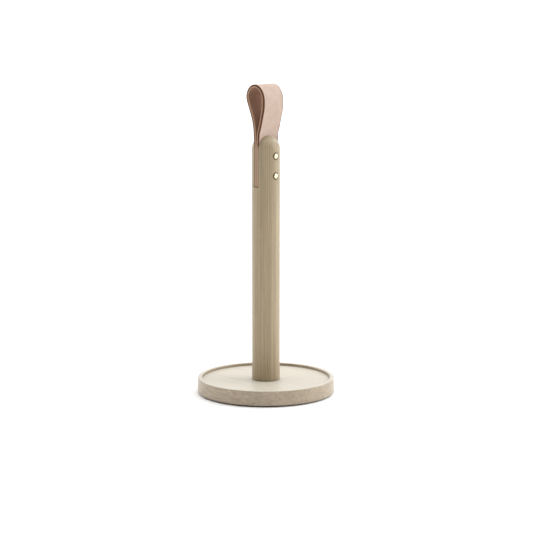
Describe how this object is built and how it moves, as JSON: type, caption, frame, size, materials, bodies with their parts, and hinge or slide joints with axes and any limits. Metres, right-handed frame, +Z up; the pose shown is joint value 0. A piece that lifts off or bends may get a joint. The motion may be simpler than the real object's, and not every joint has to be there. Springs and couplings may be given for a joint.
{
  "type": "paper towel holder",
  "caption": "Free-standing oak kitchen roll holder: a rimmed round base, a domed upright pole and a leather loop clamped in the pole's slotted top.",
  "frame": {"origin": "centre of the underside, on the plane that the foot pads stand on", "axes": "+Z up along the pole's axis; +X along the two posts, with their plain heads on the +X side; Y across the strap's width"},
  "size_m": [0.14, 0.14, 0.316],
  "materials": {
    "oak_base": "soaped matt oak",
    "oak_pole": "soaped matt oak",
    "leather": "natural vegetable-tanned leather with burnished edges",
    "brass": "polished",
    "insert_brass": "machined",
    "steel": "zinc plated",
    "foot_pad": "matt"
  },
  "bodies": {
    "stand": {"base": "oak_base", "pole": "oak_pole", "strap_tails": "leather", "post_barrel_upper": "brass", "post_barrel_lower": "brass", "post_screw_upper": "brass", "post_screw_lower": "brass", "base_screw": "steel", "base_washer": "steel", "threaded_insert": "insert_brass", "foot_pad_1": "foot_pad", "foot_pad_2": "foot_pad", "foot_pad_3": "foot_pad", "foot_pad_4": "foot_pad"},
    "loop": {"strap_loop": "leather"}
  },
  "joints": [
    {"name": "strap_flex", "type": "hinge", "parent": "stand", "child": "loop", "pos_m": [0, 0, 0.2682], "axis": [0, 1, 0], "range_deg": [-55, 55], "stiffness_Nm_per_rad": 0.05}
  ]
}
